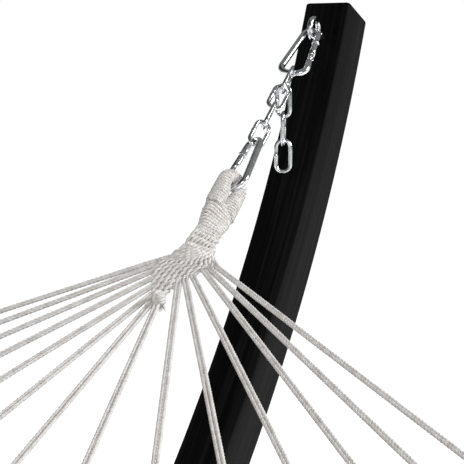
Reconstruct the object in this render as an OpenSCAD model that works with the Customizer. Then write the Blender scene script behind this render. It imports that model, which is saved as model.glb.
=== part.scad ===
// Hammock on a curved wooden stand.
// X runs along the hammock, Y across it, Z up. The floor is Z = 0 and the origin is under the middle.
// Nodes ending in _a are at the +X end, nodes ending in _b at the -X end, which is its mirror image.

/* [Stand] */
// Inner radius of the curved arms
arc_r = 1734; // [1650:1:1800]
// Side of the square section of the arms
beam = 60; // [56:1:64]
// Angle from straight down to the upper end of an arm
arm_angle = 67; // [64:1:68]
// Gap between the floor and the lowest point of the arms
floor_gap = 8; // [6:1:12]
// Rounding of the long edges of the beams
edge_r = 4; // [2:0.5:6]
// Thickness of a side beam across the stand
side_w = 45; // [40:1:50]
// Angle from straight down to the end of a side beam
side_angle = 24; // [22:1:28]
// Length of a foot
foot_len = 1200; // [1100:10:1300]
// Width of a foot along the stand
foot_w = 80; // [70:1:90]
// Height of the top of a foot above the floor
foot_top = 92; // [88:1:96]
// Height of the tip of a foot at its tapered ends
foot_tip = 62; // [55:1:70]
// Distance from the middle of the stand to the middle of a foot
foot_x = 450; // [440:5:470]

/* [Fasteners] */
// Thread diameter of the bolts through the beams
bolt_d = 10; // [8:1:12]
// Thread diameter of the screws into the feet
screw_d = 8; // [6:1:10]
// Wire diameter of the eye bolt's ring
eye_wire = 7; // [6:0.5:7.5]
// Middle radius of the eye bolt's ring
eye_r = 12.5; // [12:0.5:14]
// Distance from the ring's middle to the face of the arm
eye_out = 22; // [20:1:24]
// Distance along the arm from its end to the eye bolt
eye_drop = 48; // [40:1:60]

/* [Hanging hardware] */
// Angle of the hanging line below level at the hardware
hang = 40; // [38:0.2:42]
// Wire diameter of a snap hook
snap_wire = 8; // [7:0.5:8]
// Overall length of a snap hook
snap_len = 88; // [82:1:92]
// Overall width of a snap hook at its wide end
snap_w = 40; // [36:1:42]
// Turn of the upper snap hook about its own length
snap_turn = -8; // [-10:1:0]
// Turn of the lower snap hook about its own length
lower_turn = 198; // [190:1:205]
// Wire diameter of the chain
link_wire = 5; // [4:0.5:5]
// Overall length of a chain link
link_len = 43; // [42:0.5:44]
// Overall width of a chain link
link_w = 22; // [20:0.5:24]
// Angle that a snap hook's gate opens
gate_open = 24; // [15:1:24]

/* [Hammock] */
// Number of cord pairs at each end
pairs = 14; // [14:1:14]
// Diameter of a harness cord
cord_d = 4.5; // [4:0.1:4.6]
// Slope of the harness below level
harness_slope = 31.7; // [31:0.1:33]
// Distance from the end of the whipping to the middle of the spreader bar
harness_len = 405; // [395:1:415]
// Distance between the outermost holes of a spreader bar
hole_span = 1054; // [1040:2:1060]
// Length of a spreader bar
bar_len = 1160; // [1120:10:1180]
// Diameter of a spreader bar
bar_d = 32; // [28:1:34]
// Width of the bed
bed_w = 1100; // [1080:5:1120]
// Thickness of the bed's solid
bed_t = 8; // [4:0.5:8]
// Slope of the bed at its ends
bed_slope = 20; // [16:1:22]
// Distance from a spreader bar to the edge of the bed
bed_gap = 38; // [34:1:45]

/* [Hidden] */
$fn = 32;
arc_fn = 360;
eps = 0.3;

// Centre of the arms' curve
arc_z = floor_gap + beam + arc_r;
arc_mid = arc_r + beam / 2;

// Angles along the arms
eye_phi = arm_angle - eye_drop / arc_r * 180 / PI;
foot_phi = asin(foot_x / arc_mid);
bolt_phis = [6, 20];
foot_inset = 60;
pad_t = 8;
pad_r = 30;
hole_play = 0.5;

// Fastener sizes
bolt_head_r = 11;
bolt_head_t = 5;
washer_t = 2;
washer_lift = 0.05;
nut_t = 9;
screw_len = 105;
back_out = 14;

shank_r = 4;
eye_neck_r = 5;

// Middle of the eye bolt's ring at the +X end
ring_x = (arc_r - eye_out) * sin(eye_phi);
ring_z = arc_z - (arc_r - eye_out) * cos(eye_phi);

// Snap hook outline: a small arc at the narrow end and two corner arcs at the wide end
snap_r = snap_wire / 2;
snap_long = snap_len - snap_wire;
snap_half = (snap_w - snap_wire) / 2;
neck_r = 9.5;
corner_r = 12;
corner_x = snap_long - corner_r;
corner_y = snap_half - corner_r;
side_dist = norm([corner_x - neck_r, corner_y]);
side_turn = atan2(corner_y, corner_x - neck_r) + acos((neck_r - corner_r) / side_dist);
neck_end = [neck_r + neck_r * cos(side_turn), neck_r * sin(side_turn)];
corner_end = [corner_x + corner_r * cos(side_turn), corner_y + corner_r * sin(side_turn)];
side_len = norm(corner_end - neck_end);
side_dir = atan2(corner_end[1] - neck_end[1], corner_end[0] - neck_end[0]);
seam = 0.15;
collar_over = 0.4;
collar_half = 1.3;

// Gate: distances along the straight side from the narrow end
nose_s = 15;
gate_pin_s = 42;
gate_gap = 0.6;
tongue_t = 3;
tongue_r = 3.2;
pin_r = 1.3;
pin_h = 8.6;

// Chain link outline
link_r = link_wire / 2;
link_bend = (link_w - link_wire) / 2;
link_half = (link_len - link_w) / 2;
link_step = link_len - 2 * link_wire - eps;

// Turns of the four taut links about the line, and of the three spare links about the vertical
link_turns = [64, -30, 56, -50];
tail_turns = [0, 70, -20];
slant_play = 0.5;

// Stations along the hanging line, measured from the middle of the eye bolt's ring
snap1_s = eye_r - eye_wire / 2 - snap_r - eps;
link1_s = snap1_s + snap_long - snap_r - eps - link_r + link_half + link_bend;
chain_links = 4;
link4_s = link1_s + (chain_links - 1) * link_step;
snap2_s = link4_s + link_half + link_bend - link_r - snap_r - eps - slant_play;
loop_s = snap2_s + snap_long;
whip_s = 369;

// Whipped loop
leg_r = 9;
loop_r = snap_r + eps + leg_r;
leg_len = 34;
loop_turn = lower_turn - 270;
body_t = 16;
body_w = 41;
body_over = 4;
body_turn = -45;

// Spare end of the chain: it hangs from the lower side of the first link
tail_u = 7.56;
tail_y = 3.58;
tail_v = 2.29;
tail_x = ring_x - (link1_s + tail_u) * cos(hang) + tail_v * sin(hang);
tail_z = ring_z - (link1_s + tail_u) * sin(hang) - tail_v * cos(hang);
tail_step = link_step;

// End of the whipping, and the spreader bar
whip_x = ring_x - whip_s * cos(hang);
whip_z = ring_z - whip_s * sin(hang);
bar_x = whip_x - harness_len * cos(harness_slope);
bar_z = whip_z - harness_len * sin(harness_slope);
bar_slope = (harness_slope + bed_slope) / 2;
bar_hole_d = 11;
hole_step = hole_span / (pairs - 1);
pair_gap = cord_d / 2 + 0.1;

// Where each pair leaves the woven clew: distance from the whipping, and distance across
exits = [[43, 41], [52, 40], [62, 36], [74, 31], [87, 24], [99, 17], [112, 11],
         [113, 4], [80, -5], [73, -10], [66, -16], [54, -23], [52, -30], [49, -38]];
clew_outline = [[0.3, 18], [18, 21], [38, 37], [48.5, 32], [59, 28], [71, 22.5], [84, 15.5], [96, 8.5],
                [108, 3.5], [110, 1], [79.5, 0.5], [77.5, -3.5], [70.5, -6.5], [63, -12], [51.3, -18.5],
                [49, -27], [46, -34], [38, -36], [18, -21], [0.3, -18]];
clew_t = 8;
knot_at = [113, 7.5, 9.1];
knot_r = 6.5;
knot_tail = 22;
knot_tail_r = [5, 6];

// Bed: an arc of a circle across the length
bed_x = bar_x - bed_gap * cos(bed_slope);
bed_z = bar_z - bed_gap * sin(bed_slope);
bed_r = bed_x / sin(bed_slope);
bed_cz = bed_z + bed_r * cos(bed_slope);
hem_len = 42;
hem_t = 9;
hem_angle = hem_len / bed_r * 180 / PI;
bed_inner = bed_slope - hem_angle - 0.01;
loop_back = -1;
loop_edge = 1.5;
loop_reach = 8;
eyelet_in = 17;
eyelet_angle = eyelet_in / bed_r * 180 / PI;
eyelet_r = 10.5;
eyelet_hole_r = 6;
eyelet_t = 11.2;
roll_r = 5;

black_wood = [0.06, 0.06, 0.065];
pale_wood = [0.72, 0.55, 0.36];
zinc = [0.75, 0.76, 0.78];
cotton = [0.86, 0.83, 0.78];
rubber = [0.08, 0.08, 0.08];

// ---------------------------------------------------------------- placing

// Frame on the arms' inner face at an angle from straight down: X up the arm, Z towards the curve's centre
module on_arc(phi) {
    translate([0, 0, arc_z])
        rotate([0, -phi, 0])
            translate([0, 0, -arc_r])
                children();
}

// Frame on the hanging line: X away from the arm, Y across, Z on the under side
module on_line(s) {
    translate([ring_x - s * cos(hang), 0, ring_z - s * sin(hang)])
        rotate([0, 180 - hang, 0])
            children();
}

// Frame on the harness: X from the whipping to the spreader bar, Y across, Z on the upper side
module on_harness() {
    translate([whip_x, 0, whip_z])
        rotate([0, 180 - harness_slope, 0])
            mirror([0, 0, 1])
                children();
}

// Frame on the bed at an angle from its lowest line: X towards the end, Z towards the curve's centre
module on_bed(phi) {
    translate([0, 0, bed_cz])
        rotate([0, -phi, 0])
            translate([0, 0, -bed_r])
                children();
}

module other_end() {
    mirror([1, 0, 0])
        children();
}

// ---------------------------------------------------------------- shapes

// Rectangle with round corners, its lower left corner at the origin
module round_rect(w, h, r) {
    translate([r, 0])
        square([w - 2 * r, h]);
    translate([0, r])
        square([w, h - 2 * r]);
    for (x = [r, w - r], y = [r, h - r])
        translate([x, y])
            circle(r);
}

// Curved beam from one angle to another, from inner to inner + depth, between two faces across
module arc_beam(phi_1, phi_2, width) {
    translate([0, 0, arc_z])
        rotate([90, 0, 0])
            rotate([0, 0, phi_1 - 90])
                rotate_extrude(angle = phi_2 - phi_1, $fn = arc_fn)
                    translate([arc_r, -width / 2])
                        round_rect(beam, width, edge_r, $fn = 24);
}

// Part of the bed's curve between two angles, offset from its middle surface
module bed_band(phi_1, phi_2, width, thick) {
    translate([0, 0, bed_cz])
        rotate([90, 0, 0])
            rotate([0, 0, phi_1 - 90])
                rotate_extrude(angle = phi_2 - phi_1, $fn = arc_fn)
                    translate([bed_r - thick / 2, -width / 2])
                        square([thick, width]);
}

// Round bar between two points
module rod(p, q, r, sides = 32) {
    v = q - p;
    translate(p)
        rotate([0, acos(v[2] / norm(v)), atan2(v[1], v[0])])
            cylinder(h = norm(v), r = r, $fn = sides);
}

module washer(hole_r, outer_r, t) {
    difference() {
        cylinder(h = t, r = outer_r);
        translate([0, 0, -1])
            cylinder(h = t + 2, r = hole_r);
    }
}

// Closed cap nut standing on Z = 0, with its threaded hole open at the bottom
module cap_nut(thread_r, across, t) {
    difference() {
        union() {
            cylinder(h = t, r = across / sqrt(3), $fn = 6);
            intersection() {
                cylinder(h = t + across / 2, r = across * 0.46);
                translate([0, 0, t - 2])
                    sphere(r = across * 0.46 + 1);
            }
        }
        translate([0, 0, -1])
            cylinder(h = t + 2, r = thread_r);
    }
}

// Mushroom head on Z = 0, domed upwards
module dome_head(r, t) {
    ball = (r * r + t * t) / (2 * t);
    intersection() {
        cylinder(h = t, r = r);
        translate([0, 0, t - ball])
            sphere(r = ball, $fn = 64);
    }
}

// ---------------------------------------------------------------- stand

module arm() {
    color(black_wood)
        difference() {
            arc_beam(0.02, arm_angle, beam);
            on_arc(eye_phi)
                translate([0, 0, -beam - 5])
                    cylinder(h = beam + 10, r = shank_r + hole_play);
            for (phi = bolt_phis)
                on_arc(phi)
                    translate([0, 0, -beam / 2])
                        rotate([90, 0, 0])
                            cylinder(h = beam + 10, r = bolt_d / 2 + hole_play, center = true);
        }
}

module side_beam() {
    color(black_wood)
        difference() {
            translate([0, beam / 2 + side_w / 2, 0])
                arc_beam(-side_angle, side_angle, side_w);
            for (phi = bolt_phis, side = [-1, 1])
                on_arc(side * phi)
                    translate([0, beam / 2 + side_w / 2, -beam / 2])
                        rotate([90, 0, 0])
                            cylinder(h = side_w + 10, r = bolt_d / 2 + hole_play, center = true);
            for (side = [-1, 1])
                on_arc(side * foot_phi)
                    translate([0, beam / 2 + side_w / 2, -beam - 5])
                        cylinder(h = beam + 10, r = screw_d / 2 + hole_play);
        }
}

// Foot: tapered towards both tips and cut to the curve of the beams that lie in it
module foot() {
    half = foot_len / 2;
    seat = beam / 2 + side_w + 35;
    color(black_wood)
        difference() {
            translate([foot_x - foot_w / 2, 0, 0])
                rotate([90, 0, 90])
                    linear_extrude(foot_w)
                        polygon([[-half + 8, pad_t], [half - 8, pad_t], [half, pad_t + 10],
                                 [half, foot_tip - 12], [half - 12, foot_tip], [seat, foot_top],
                                 [-seat, foot_top], [-half + 12, foot_tip], [-half, foot_tip - 12],
                                 [-half, pad_t + 10]]);
            translate([0, 0, arc_z])
                rotate([90, 0, 0])
                    cylinder(h = beam + 2 * side_w, r = arc_r + beam, center = true, $fn = arc_fn);
            for (y = [-1, 1] * (beam + side_w) / 2)
                on_arc(foot_phi)
                    translate([0, y, -screw_len])
                        cylinder(h = screw_len, r = screw_d / 2);
        }
}

module foot_pads() {
    color(rubber)
        for (x = [-foot_x, foot_x], y = [-1, 1] * (foot_len / 2 - foot_inset))
            translate([x, y, 0])
                cylinder(h = pad_t, r = pad_r);
}

// Bolt places in the beams, seen from the outer face of the beam on one side
module beam_bolt_places(side) {
    for (end = [-1, 1], phi = bolt_phis)
        on_arc(end * phi)
            translate([0, side * (beam / 2 + side_w), -beam / 2])
                rotate([-side * 90, 0, 0])
                    children();
}

module beam_bolts() {
    color(zinc)
        beam_bolt_places(-1) {
            dome_head(bolt_head_r, bolt_head_t);
            translate([0, 0, -(beam + 2 * side_w + washer_t + nut_t)])
                cylinder(h = beam + 2 * side_w + washer_t + nut_t, r = bolt_d / 2);
        }
}

module beam_washers() {
    color(zinc)
        beam_bolt_places(1)
            washer(bolt_d / 2 + hole_play, 12, washer_t);
}

module beam_nuts() {
    color(zinc)
        beam_bolt_places(1)
            translate([0, 0, washer_t])
                cap_nut(bolt_d / 2, 16, nut_t);
}

module foot_screw_places() {
    for (end = [-1, 1], y = [-1, 1] * (beam + side_w) / 2)
        on_arc(end * foot_phi)
            translate([0, y, washer_lift])
                children();
}

module foot_screws() {
    color(zinc)
        foot_screw_places() {
            translate([0, 0, washer_t])
                cylinder(h = 5.5, r = 13 / sqrt(3), $fn = 6);
            translate([0, 0, -screw_len + 5])
                cylinder(h = screw_len - 5 + washer_t, r = screw_d / 2);
        }
}

module foot_washers() {
    color(zinc)
        foot_screw_places()
            washer(screw_d / 2 + hole_play, 12, washer_t);
}

// Eye bolt: a ring in the plane of the arms on a shank through the arm
module eye() {
    color(zinc)
        on_arc(eye_phi) {
            translate([0, 0, eye_out])
                rotate([90, 0, 0])
                    rotate_extrude($fn = 64)
                        translate([eye_r, 0])
                            circle(eye_wire / 2);
            cylinder(h = eye_out - eye_r - 1, r1 = eye_neck_r, r2 = shank_r + 0.4);
            translate([0, 0, -beam - back_out])
                cylinder(h = beam + back_out + 1, r = shank_r);
        }
}

module eye_back_places() {
    for (end = [0, 1])
        mirror([end, 0, 0])
            on_arc(eye_phi)
                translate([0, 0, -beam])
                    rotate([180, 0, 0])
                        children();
}

module eye_washers() {
    color(zinc)
        eye_back_places()
            washer(shank_r + hole_play, 12, washer_t);
}

module eye_nuts() {
    color(zinc)
        eye_back_places()
            translate([0, 0, washer_t])
                cap_nut(shank_r, 13, back_out - washer_t);
}

// ---------------------------------------------------------------- snap hooks

// Frame on the gate's side of a snap hook: X along the side from the narrow end, Y outwards
module on_gate_side(s) {
    translate([neck_end[0], -neck_end[1], 0])
        rotate([0, 0, -side_dir])
            translate([s, 0, 0])
                children();
}

module wire_arc(x, y, r, from, turn) {
    translate([x, y, 0])
        rotate([0, 0, from])
            rotate_extrude(angle = turn, $fn = 48)
                translate([r, 0])
                    circle(snap_r, $fn = 24);
}

// Straight wire between two bends, with a short collar over each seam
module wire_side(p, q) {
    dir = (q - p) / norm(q - p);
    rod(p + seam * dir, q - seam * dir, snap_r, 24);
    for (at = [p, q])
        rod(at - collar_half * dir, at + collar_half * dir, snap_r + collar_over, 24);
}

// Snap hook without its gate, narrow end at the origin, length along X, gate on the -Y side
module snap() {
    shoulder = gate_pin_s + snap_r + 0.5;
    color(zinc)
        difference() {
            union() {
                wire_arc(neck_r, 0, neck_r, side_turn, 360 - 2 * side_turn);
                wire_arc(corner_x, corner_y, corner_r, 0, side_turn);
                wire_arc(corner_x, -corner_y, corner_r, -side_turn, side_turn);
                wire_side([neck_end[0], neck_end[1], 0], [corner_end[0], corner_end[1], 0]);
                wire_side([snap_long, corner_y, 0], [snap_long, -corner_y, 0]);
                for (s = [0, side_len])
                    on_gate_side(s)
                        rotate([0, 90, 0])
                            cylinder(h = 2 * collar_half, r = snap_r + collar_over, center = true);
                on_gate_side(seam)
                    rotate([0, 90, 0])
                        cylinder(h = nose_s - seam, r = snap_r, $fn = 24);
                on_gate_side(nose_s - 3)
                    rotate([0, 90, 0])
                        cylinder(h = 3.1, r = snap_r + 0.7);
                on_gate_side(shoulder)
                    rotate([0, 90, 0])
                        cylinder(h = side_len - shoulder - seam, r = snap_r, $fn = 24);
                on_gate_side(gate_pin_s)
                    translate([0, -tongue_r, -tongue_t / 2])
                        cube([shoulder - gate_pin_s + 0.5, 2 * tongue_r, tongue_t]);
                on_gate_side(gate_pin_s)
                    cylinder(h = tongue_t, r = tongue_r + 0.05, center = true);
            }
            on_gate_side(gate_pin_s)
                cylinder(h = pin_h, r = pin_r, center = true);
        }
}

// Gate with its forked end round the pin
module gate() {
    color(zinc)
        difference() {
            union() {
                on_gate_side(nose_s + gate_gap)
                    rotate([0, 90, 0])
                        cylinder(h = gate_pin_s - nose_s - gate_gap, r = snap_r - 0.2);
                on_gate_side(gate_pin_s)
                    intersection() {
                        cylinder(h = 2 * snap_r, r = snap_r, center = true);
                        rotate([0, 90, 0])
                            cylinder(h = 3 * snap_r, r = snap_r - 0.2, center = true);
                    }
            }
            on_gate_side(gate_pin_s - tongue_r - 0.6)
                translate([0, -snap_r - 1, -tongue_t / 2 - eps / 2])
                    cube([3 * snap_r, 2 * snap_r + 2, tongue_t + eps]);
            on_gate_side(gate_pin_s)
                cylinder(h = pin_h, r = pin_r + 0.05, center = true);
        }
}

module gate_pin() {
    color(zinc)
        on_gate_side(gate_pin_s)
            cylinder(h = pin_h, r = pin_r, center = true);
}

// Both hooks lie nearly across the line, with their gates on opposite sides
module upper_place() {
    on_line(snap1_s)
        rotate([snap_turn, 0, 0])
            children();
}

module lower_place() {
    on_line(snap2_s)
        rotate([lower_turn, 0, 0])
            children();
}

module snap_pins() {
    for (end = [0, 1])
        mirror([end, 0, 0]) {
            upper_place()
                gate_pin();
            lower_place()
                gate_pin();
        }
}

// ---------------------------------------------------------------- chain

// Chain link centred on the origin, length along X, in the XY plane
module link() {
    color(zinc)
        union() {
            for (side = [-1, 1]) {
                translate([side * link_half, 0, 0])
                    rotate([0, 0, side * 90 - 180])
                        rotate_extrude(angle = 180, $fn = 48)
                            translate([link_bend, 0])
                                circle(link_r, $fn = 24);
                translate([-link_half, side * link_bend, 0])
                    rotate([0, 90, 0])
                        cylinder(h = 2 * link_half, r = link_r, $fn = 24);
            }
        }
}

// Links are turned about a quarter from one to the next
module chain_link(i) {
    on_line(link1_s + (i - 1) * link_step)
        rotate([link_turns[i - 1], 0, 0])
            link();
}

// The spare links hang straight down
module tail_link(i) {
    translate([tail_x, tail_y, tail_z - link_half - link_bend - (i - 1) * tail_step])
        rotate([0, 90, 0])
            rotate([tail_turns[i - 1], 0, 0])
                link();
}

// ---------------------------------------------------------------- cords

// Rope loop round the lower hook, whipped over its whole length: two round legs, then one flat body
module whipped_loop() {
    body_from = leg_len - body_over;
    color(cotton)
        difference() {
            on_line(loop_s)
                union() {
                    rotate([loop_turn, 0, 0])
                        rotate([0, 0, 90])
                            rotate_extrude(angle = 180, $fn = 48)
                                translate([loop_r, 0])
                                    circle(leg_r, $fn = 32);
                    for (side = [-1, 1])
                        rotate([loop_turn, 0, 0])
                            translate([0, side * loop_r, 0])
                                rotate([0, 90, 0])
                                    cylinder(h = leg_len, r = leg_r);
                    rotate([body_turn, 0, 0])
                        translate([body_from, -body_w / 2, -body_t / 2])
                            cube([whip_s + body_over - loop_s - body_from, body_w, body_t]);
                }
            on_harness()
                translate([0, -body_w, -body_w])
                    cube(2 * body_w);
        }
}

// Woven clew: a flat triangular mat of crossing cords
module clew() {
    color(cotton)
        on_harness()
            translate([0, 0, -clew_t / 2])
                linear_extrude(clew_t)
                    polygon(clew_outline);
}

module knot() {
    color(cotton)
        on_harness()
            translate(knot_at) {
                sphere(knot_r);
                rotate([0, 85, 25])
                    cylinder(h = knot_tail, r1 = knot_tail_r[0], r2 = knot_tail_r[1]);
            }
}

function hole_y(i) = hole_span / 2 - i * hole_step;

// Harness: pairs of cords from the clew, spreading to the holes of the bar and straight through it
module harness() {
    mouth = harness_len - bar_d / 2 - 4;
    color(cotton)
        for (i = [0:pairs - 1], side = [-1, 1]) {
            on_harness()
                rod([exits[i][0], exits[i][1] + side * pair_gap, 0],
                    [mouth, hole_y(i) + side * pair_gap, 0], cord_d / 2, 8);
            translate([bar_x, hole_y(i) + side * pair_gap, bar_z])
                rotate([0, 90 - bar_slope, 0])
                    cylinder(h = bar_d + 14, r = cord_d / 2, center = true, $fn = 8);
        }
}

// ---------------------------------------------------------------- bed

module bar() {
    chamfer = 4;
    color(pale_wood)
        translate([bar_x, 0, bar_z])
            difference() {
                rotate([90, 0, 0])
                    union() {
                        cylinder(h = bar_len - 2 * chamfer, r = bar_d / 2, center = true);
                        for (side = [0, 1])
                            mirror([0, 0, side])
                                translate([0, 0, bar_len / 2 - chamfer])
                                    cylinder(h = chamfer, r1 = bar_d / 2, r2 = bar_d / 2 - chamfer);
                    }
                for (i = [0:pairs - 1])
                    translate([0, hole_y(i), 0])
                        rotate([0, 90 - bar_slope, 0])
                            cylinder(h = bar_d + 10, r = bar_hole_d / 2, center = true);
            }
}

module bed() {
    color(cotton)
        bed_band(-bed_inner, bed_inner, bed_w - 4 * roll_r, bed_t);
}

// Rolled hems along both long edges
module side_hems() {
    color(cotton)
        for (side = [-1, 1])
            translate([0, side * (bed_w / 2 - roll_r), bed_cz])
                rotate([90, 0, 0])
                    rotate([0, 0, -bed_inner - 90])
                        rotate_extrude(angle = 2 * bed_inner, $fn = arc_fn)
                            translate([bed_r, 0])
                                circle(roll_r, $fn = 16);
}

// Folded hem across the end of the bed, with a hole at each eyelet
module end_hem() {
    color(cotton)
        difference() {
            bed_band(bed_slope - hem_angle, bed_slope, bed_w, hem_t);
            for (i = [0:pairs - 1])
                on_bed(bed_slope - eyelet_angle)
                    translate([0, hole_y(i), -hem_t])
                        cylinder(h = 2 * hem_t, r = eyelet_hole_r + 1.5, $fn = 24);
        }
}

// Eyelets: a short tube with a flange on each side of the hem
module eyelets() {
    color(zinc)
        for (i = [0:pairs - 1])
            on_bed(bed_slope - eyelet_angle)
                translate([0, hole_y(i), 0])
                    difference() {
                        union() {
                            cylinder(h = eyelet_t, r = eyelet_hole_r + 1.4, center = true);
                            for (side = [-1, 1])
                                translate([0, 0, side * (eyelet_t / 2 - 0.5)])
                                    cylinder(h = 1, r = eyelet_r, center = true);
                        }
                        cylinder(h = eyelet_t + 2, r = eyelet_hole_r, center = true);
                    }
}

// Each pair of cords is one cord that turns back through its eyelet, over and under the hem
module bed_loops() {
    reach = bed_gap + eyelet_in - bar_d / 2 - loop_reach;
    rise = eyelet_t / 2 + cord_d / 2 + eps;
    edge = eyelet_in - loop_edge;
    color(cotton)
        for (i = [0:pairs - 1])
            on_bed(bed_slope - eyelet_angle)
                translate([0, hole_y(i), 0]) {
                    for (side = [-1, 1]) {
                        rod([loop_back, 0, side * rise], [edge, 0, side * rise], cord_d / 2, 8);
                        rod([edge, 0, side * rise], [reach, side * pair_gap, side * loop_edge], cord_d / 2, 8);
                    }
                    translate([loop_back, 0, 0])
                        cylinder(h = 2 * rise + cord_d, r = cord_d / 2, center = true, $fn = 8);
                }
}

// ---------------------------------------------------------------- nodes

arm();  // arm_a
other_end() arm();  // arm_b
side_beam();  // side_beam_left
mirror([0, 1, 0]) side_beam();  // side_beam_right
foot();  // foot_a
other_end() foot();  // foot_b
foot_pads();
beam_bolts();
beam_washers();
beam_nuts();
foot_screws();
foot_washers();
eye();  // eye_a
other_end() eye();  // eye_b
eye_washers();
eye_nuts();
upper_place() snap();  // upper_snap_a
other_end() upper_place() snap();  // upper_snap_b
lower_place() snap();  // lower_snap_a
other_end() lower_place() snap();  // lower_snap_b
snap_pins();
upper_place() gate();  // upper_gate_a
other_end() upper_place() gate();  // upper_gate_b
lower_place() gate();  // lower_gate_a
other_end() lower_place() gate();  // lower_gate_b
chain_link(1);  // chain_a1
chain_link(2);  // chain_a2
chain_link(3);  // chain_a3
chain_link(4);  // chain_a4
other_end() chain_link(1);  // chain_b1
other_end() chain_link(2);  // chain_b2
other_end() chain_link(3);  // chain_b3
other_end() chain_link(4);  // chain_b4
tail_link(1);  // tail_a1
tail_link(2);  // tail_a2
tail_link(3);  // tail_a3
other_end() tail_link(1);  // tail_b1
other_end() tail_link(2);  // tail_b2
other_end() tail_link(3);  // tail_b3
whipped_loop();  // loop_a
other_end() whipped_loop();  // loop_b
clew();  // clew_a
other_end() clew();  // clew_b
knot();  // knot_a
other_end() knot();  // knot_b
harness();  // harness_a
other_end() harness();  // harness_b
bar();  // bar_a
other_end() bar();  // bar_b
bed();
side_hems();
end_hem();  // end_hem_a
other_end() end_hem();  // end_hem_b
eyelets();  // eyelets_a
other_end() eyelets();  // eyelets_b
bed_loops();  // bed_loops_a
other_end() bed_loops();  // bed_loops_b
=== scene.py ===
import random
from itertools import accumulate
from math import acos, atan2, cos, exp, hypot, pi, radians, sin, sqrt, tau

import bmesh
import bpy
from mathutils import Matrix, Vector


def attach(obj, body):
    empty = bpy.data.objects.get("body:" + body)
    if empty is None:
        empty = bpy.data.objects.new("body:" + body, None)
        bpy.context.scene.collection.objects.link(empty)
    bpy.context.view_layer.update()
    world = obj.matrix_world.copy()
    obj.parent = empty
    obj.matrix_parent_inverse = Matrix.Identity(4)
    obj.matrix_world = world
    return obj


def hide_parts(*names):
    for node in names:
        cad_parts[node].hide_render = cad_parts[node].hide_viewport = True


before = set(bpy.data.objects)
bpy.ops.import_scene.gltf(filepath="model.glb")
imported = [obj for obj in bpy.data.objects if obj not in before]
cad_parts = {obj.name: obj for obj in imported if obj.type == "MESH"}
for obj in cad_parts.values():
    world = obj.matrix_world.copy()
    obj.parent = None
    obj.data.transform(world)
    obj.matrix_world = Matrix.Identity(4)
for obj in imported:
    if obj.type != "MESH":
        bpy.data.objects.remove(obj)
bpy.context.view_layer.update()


# ---- sizes, in metres, as in part.scad

MM = 0.001
WHITE = (1, 1, 1)
BEAM = 60 * MM
ARC_R = 1734 * MM
ARC_Z = (8 + 60 + 1734) * MM
ARM_ANGLE = radians(67)
EYE_R = 12.5 * MM
EYE_WIRE = 7 * MM
EYE_OUT = 22 * MM
EYE_PHI = ARM_ANGLE - 48 * MM / ARC_R
HANG = radians(40)
HARNESS_SLOPE = radians(31.7)
HARNESS_LEN = 405 * MM
WHIP_S = 369 * MM
SNAP_R = 4 * MM
SNAP_LONG = 80 * MM
SNAP_HALF = 16 * MM
SNAP_TURN = radians(-8)
LOWER_TURN = radians(198)
NECK_R = 9.5 * MM
CORNER_R = 12 * MM
NOSE_S = 15 * MM
GATE_PIN_S = 42 * MM
LINK_R = 2.5 * MM
LINK_BEND = 8.5 * MM
LINK_HALF = 10.5 * MM
LINK_STEP = 32.7 * MM
LINK_TURNS = [radians(a) for a in (64, -30, 56, -50)]
SPARE_TURNS = [radians(a) for a in (0, 70, -20)]
SPARE_AT = (7.56 * MM, 3.58 * MM, 2.29 * MM)
SLANT_PLAY = 0.5 * MM
GAP = 0.3 * MM
SNAP1_S = EYE_R - EYE_WIRE / 2 - SNAP_R - GAP
LINK1_S = SNAP1_S + SNAP_LONG - SNAP_R - GAP - LINK_R + LINK_HALF + LINK_BEND
SNAP2_S = LINK1_S + 3 * LINK_STEP + LINK_HALF + LINK_BEND - LINK_R - SNAP_R - GAP - SLANT_PLAY
LOOP_S = SNAP2_S + SNAP_LONG
LEG_R = 9 * MM
LOOP_TURN = LOWER_TURN - radians(270)
WHIP_TURN = radians(-38)
LOOP_R = SNAP_R + GAP + LEG_R
CORD_D = 4.5 * MM
CORD_LAY = 15 * MM
PAIR_GAP = CORD_D / 2 + 0.1 * MM
PAIRS = 14
HOLE_SPAN = 1054 * MM
BAR_D = 32 * MM
BED_SLOPE = radians(20)
BED_GAP = 38 * MM
BED_W = 1100 * MM
EYELET_IN = 17 * MM
EYELET_RISE = 8 * MM


def on_arc(angle, radius):
    """A point on the stand's arc, angle up from its lowest point."""
    return Vector((radius * sin(angle), 0, ARC_Z - radius * cos(angle)))


def directions(slope):
    """Down a line that slopes towards the bed, and square to it on its upper side."""
    return Vector((-cos(slope), 0, -sin(slope))), Vector((-sin(slope), 0, cos(slope)))


def twisted(y, n, turn):
    """The same point's y and n after a turn about the line."""
    return y * cos(turn) + n * sin(turn), n * cos(turn) - y * sin(turn)


RING = on_arc(EYE_PHI, ARC_R - EYE_OUT)
UP = Vector((0, 0, 1))
ACROSS = Vector((0, 1, 0))
DOWN_LINE, OFF_LINE = directions(HANG)
DOWN_HARNESS, OFF_HARNESS = directions(HARNESS_SLOPE)
WHIP = RING + WHIP_S * DOWN_LINE
BAR = WHIP + HARNESS_LEN * DOWN_HARNESS
BED_X = BAR.x - BED_GAP * cos(BED_SLOPE)
BED_Z = BAR.z - BED_GAP * sin(BED_SLOPE)
BED_R = BED_X / sin(BED_SLOPE)
BED_CZ = BED_Z + BED_R * cos(BED_SLOPE)

# Where each pair leaves the woven clew: along the harness from the whipping, and across
EXITS = [(43, 41), (52, 40), (62, 36), (74, 31), (87, 24), (99, 17), (112, 11),
         (113, 4), (80, -5), (73, -10), (66, -16), (54, -23), (52, -30), (49, -38)]


def on_line(s, y=0.0, n=0.0):
    """A point on the hanging line: s from the eye's ring, y across, n above the line."""
    return RING + s * DOWN_LINE + y * ACROSS + n * OFF_LINE


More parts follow.
